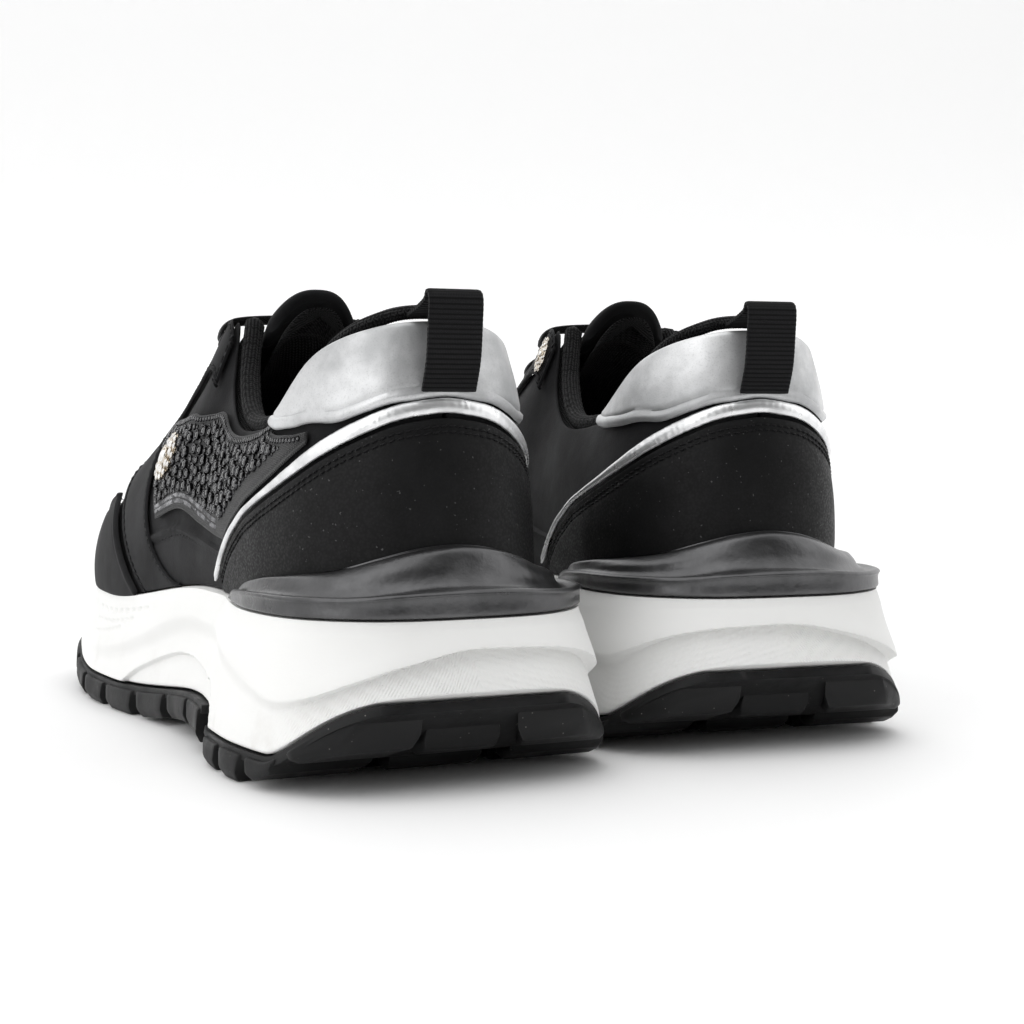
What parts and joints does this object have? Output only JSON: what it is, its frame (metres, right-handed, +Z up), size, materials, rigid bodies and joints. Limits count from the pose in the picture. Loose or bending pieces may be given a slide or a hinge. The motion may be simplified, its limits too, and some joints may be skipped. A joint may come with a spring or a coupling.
{
  "type": "cheer shoes",
  "caption": "Pair of lace-up cheer trainers with thick white foam soles, black lugged rubber treads, silver heel tabs, crystal side panels and grosgrain pull loops.",
  "frame": {"origin": "on the floor, in the middle of the pair as it stands", "axes": "+Z up, toes along +Y, the right shoe on +X"},
  "size_m": [0.2262, 0.3092, 0.1331],
  "materials": {
    "rubber": "matt black moulded rubber, lugged",
    "foam": "white moulded foam with soft waves",
    "clip": "dark pearl moulded plastic with a fine grain",
    "board": "fibre board",
    "sock": "black textile over foam",
    "knit": "black ribbed knit",
    "nubuck": "matt charcoal microfibre nubuck",
    "leather": "black pebbled leather, satin",
    "crystal": "black mesh set with small hot-fixed crystals",
    "piping": "smooth silver metallic film",
    "silver": "silver metallic pebbled leather",
    "webbing": "black ribbed webbing",
    "stone": "cut crystals in pale metal settings"
  },
  "bodies": {
    "left_shoe": {"left_outsole_heel": "rubber", "left_outsole_forefoot": "rubber", "left_midsole": "foam", "left_heel_clip": "clip", "left_lasting_board": "board", "left_sockliner": "sock", "left_heel_stiffener": "board", "left_toe_puff": "board", "left_lining_outer": "knit", "left_lining_inner": "knit", "left_quarter_outer": "nubuck", "left_quarter_inner": "nubuck", "left_vamp": "nubuck", "left_toe_guard": "nubuck", "left_side_guard_outer": "nubuck", "left_side_guard_inner": "nubuck", "left_eyestay_outer": "nubuck", "left_eyestay_inner": "nubuck", "left_crystal_panel": "crystal", "left_heel_counter": "leather", "left_piping": "piping", "left_heel_tab": "silver", "left_collar_padding": "knit", "left_collar_binding": "knit", "left_pull_loop": "webbing", "left_lace": "webbing", "left_ornament_outer": "stone", "left_ornament_inner": "stone"},
    "left_tongue_flap": {"left_tongue": "nubuck", "left_tongue_lining": "knit"},
    "right_shoe": {"right_outsole_heel": "rubber", "right_outsole_forefoot": "rubber", "right_midsole": "foam", "right_heel_clip": "clip", "right_lasting_board": "board", "right_sockliner": "sock", "right_heel_stiffener": "board", "right_toe_puff": "board", "right_lining_outer": "knit", "right_lining_inner": "knit", "right_quarter_outer": "nubuck", "right_quarter_inner": "nubuck", "right_vamp": "nubuck", "right_toe_guard": "nubuck", "right_side_guard_outer": "nubuck", "right_side_guard_inner": "nubuck", "right_eyestay_outer": "nubuck", "right_eyestay_inner": "nubuck", "right_crystal_panel": "crystal", "right_heel_counter": "leather", "right_piping": "piping", "right_heel_tab": "silver", "right_collar_padding": "knit", "right_collar_binding": "knit", "right_pull_loop": "webbing", "right_lace": "webbing", "right_ornament_outer": "stone", "right_ornament_inner": "stone"},
    "right_tongue_flap": {"right_tongue": "nubuck", "right_tongue_lining": "knit"}
  },
  "joints": [
    {"name": "right_shoe_place", "type": "slide", "parent": "left_shoe", "child": "right_shoe", "axis": [1, 0, 0], "range_m": [0, 0.15]},
    {"name": "left_tongue_bend", "type": "hinge", "parent": "left_shoe", "child": "left_tongue_flap", "pos_m": [-0.05822, 0.0557, 0.078], "axis": [0.9984, 0.0558, 0], "range_deg": [0, 12], "stiffness_Nm_per_rad": 0.05},
    {"name": "right_tongue_bend", "type": "hinge", "parent": "right_shoe", "child": "right_tongue_flap", "pos_m": [0.05822, 0.0747, 0.078], "axis": [0.9984, -0.0558, 0], "range_deg": [0, 12], "stiffness_Nm_per_rad": 0.05}
  ]
}
